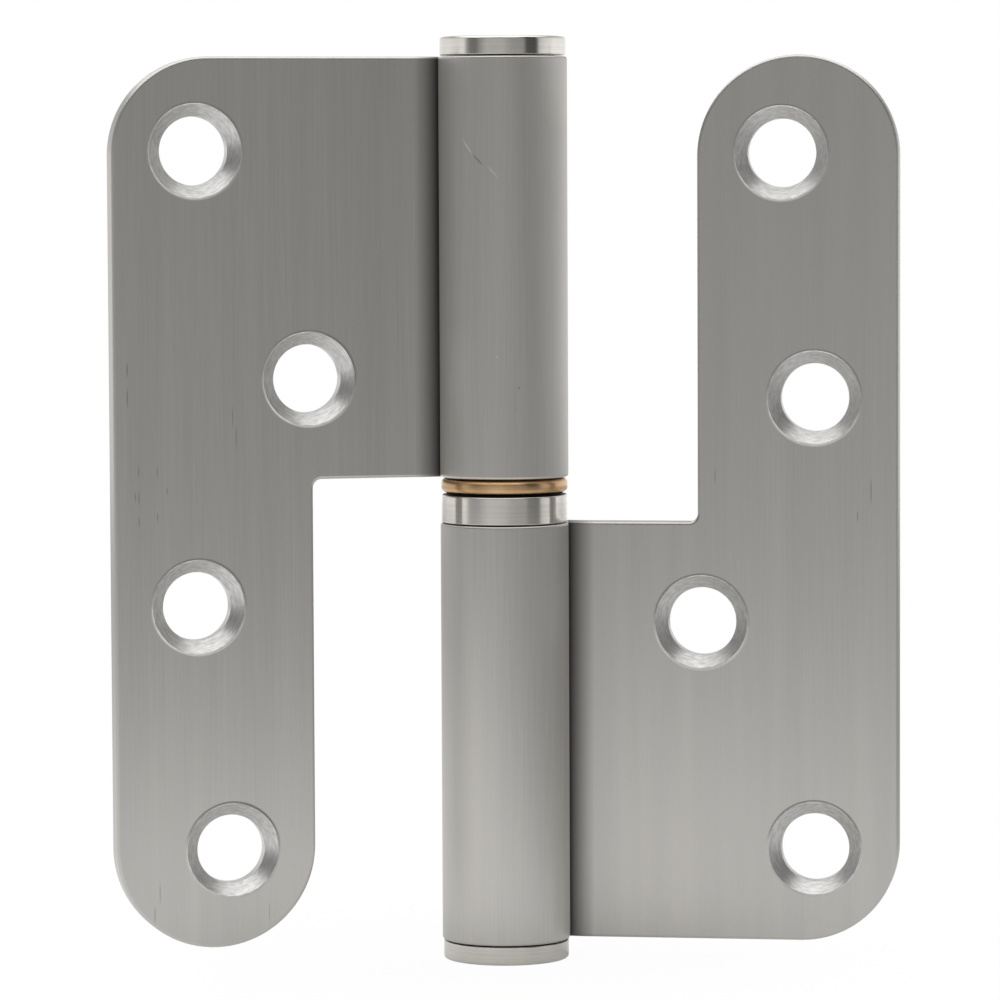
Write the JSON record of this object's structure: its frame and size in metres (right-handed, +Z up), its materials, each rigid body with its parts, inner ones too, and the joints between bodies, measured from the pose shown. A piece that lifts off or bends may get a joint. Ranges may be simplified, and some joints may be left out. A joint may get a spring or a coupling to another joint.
{
  "type": "lift-off hinge",
  "caption": "Right-hand lift-off door hinge with L-shaped satin steel leaves, countersunk screw holes, rolled knuckles on a fixed pin, a bronze thrust washer and turned end plugs.",
  "frame": {"origin": "on the pin axis, midway between the ends of the leaves", "axes": "+X from the pin axis out along the frame leaf, +Y out of the frame leaf's back, +Z up the pin"},
  "size_m": [0.0873, 0.0227, 0.1044],
  "materials": {
    "satin_steel": "satin, brushed along the pin",
    "turned_steel": "turned and polished",
    "ground_steel": "ground",
    "bronze": "turned bronze, golden brown"
  },
  "bodies": {
    "frame_half": {"frame_leaf": "satin_steel", "bottom_cap": "turned_steel", "hinge_pin": "ground_steel", "steel_collar": "turned_steel"},
    "thrust_washer": {"bronze_washer": "bronze"},
    "door_half": {"door_leaf": "satin_steel", "top_cap": "turned_steel", "bronze_bush": "bronze"}
  },
  "joints": [
    {"name": "swing", "type": "hinge", "parent": "frame_half", "child": "thrust_washer", "pos_m": [0, 0, 0], "axis": [0, 0, 1], "range_deg": [-177.4, 157.6]},
    {"name": "lift_off", "type": "slide", "parent": "thrust_washer", "child": "door_half", "axis": [0, 0, 1], "range_m": [0, 0.04]}
  ]
}
